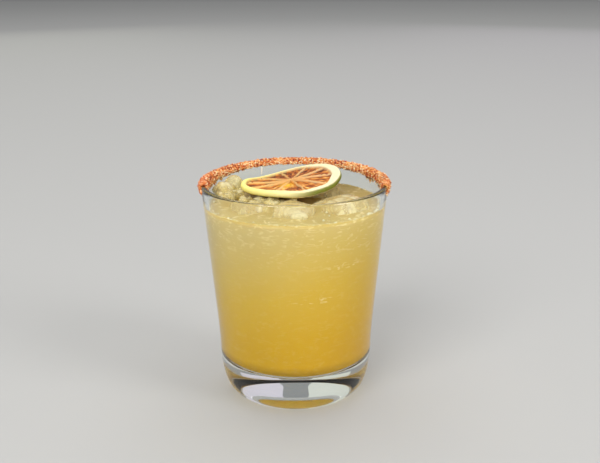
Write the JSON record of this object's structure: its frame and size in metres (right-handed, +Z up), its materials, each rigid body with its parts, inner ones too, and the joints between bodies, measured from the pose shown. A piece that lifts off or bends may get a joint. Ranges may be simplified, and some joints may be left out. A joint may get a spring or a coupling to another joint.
{
  "type": "margarita cocktail",
  "caption": "Margarita on ice in a heavy-based tumbler with rounded heel, chilli-salt crust round the back of the rim and a dried lime wheel on top.",
  "frame": {"origin": "on the surface the glass stands on, at the middle of its foot", "axes": "+Z up along the glass's axis, -Y towards the front, where the rim has no salt, +X to the right of someone looking at the front"},
  "size_m": [0.0924, 0.09, 0.1082],
  "materials": {
    "clear_glass": "smooth, clear",
    "margarita": "cloudy liquid with a smooth surface",
    "clear_ice": "wet, slightly cloudy",
    "dried_lime": "dried fruit",
    "chilli_salt": "coarse grains"
  },
  "bodies": {
    "root": {"glass": "clear_glass", "drink": "margarita", "lime_wheel": "dried_lime", "salt_rim": "chilli_salt", "ice_1": "clear_ice", "ice_2": "clear_ice", "ice_3": "clear_ice", "ice_4": "clear_ice", "ice_5": "clear_ice", "ice_6": "clear_ice", "ice_7": "clear_ice"}
  },
  "joints": []
}
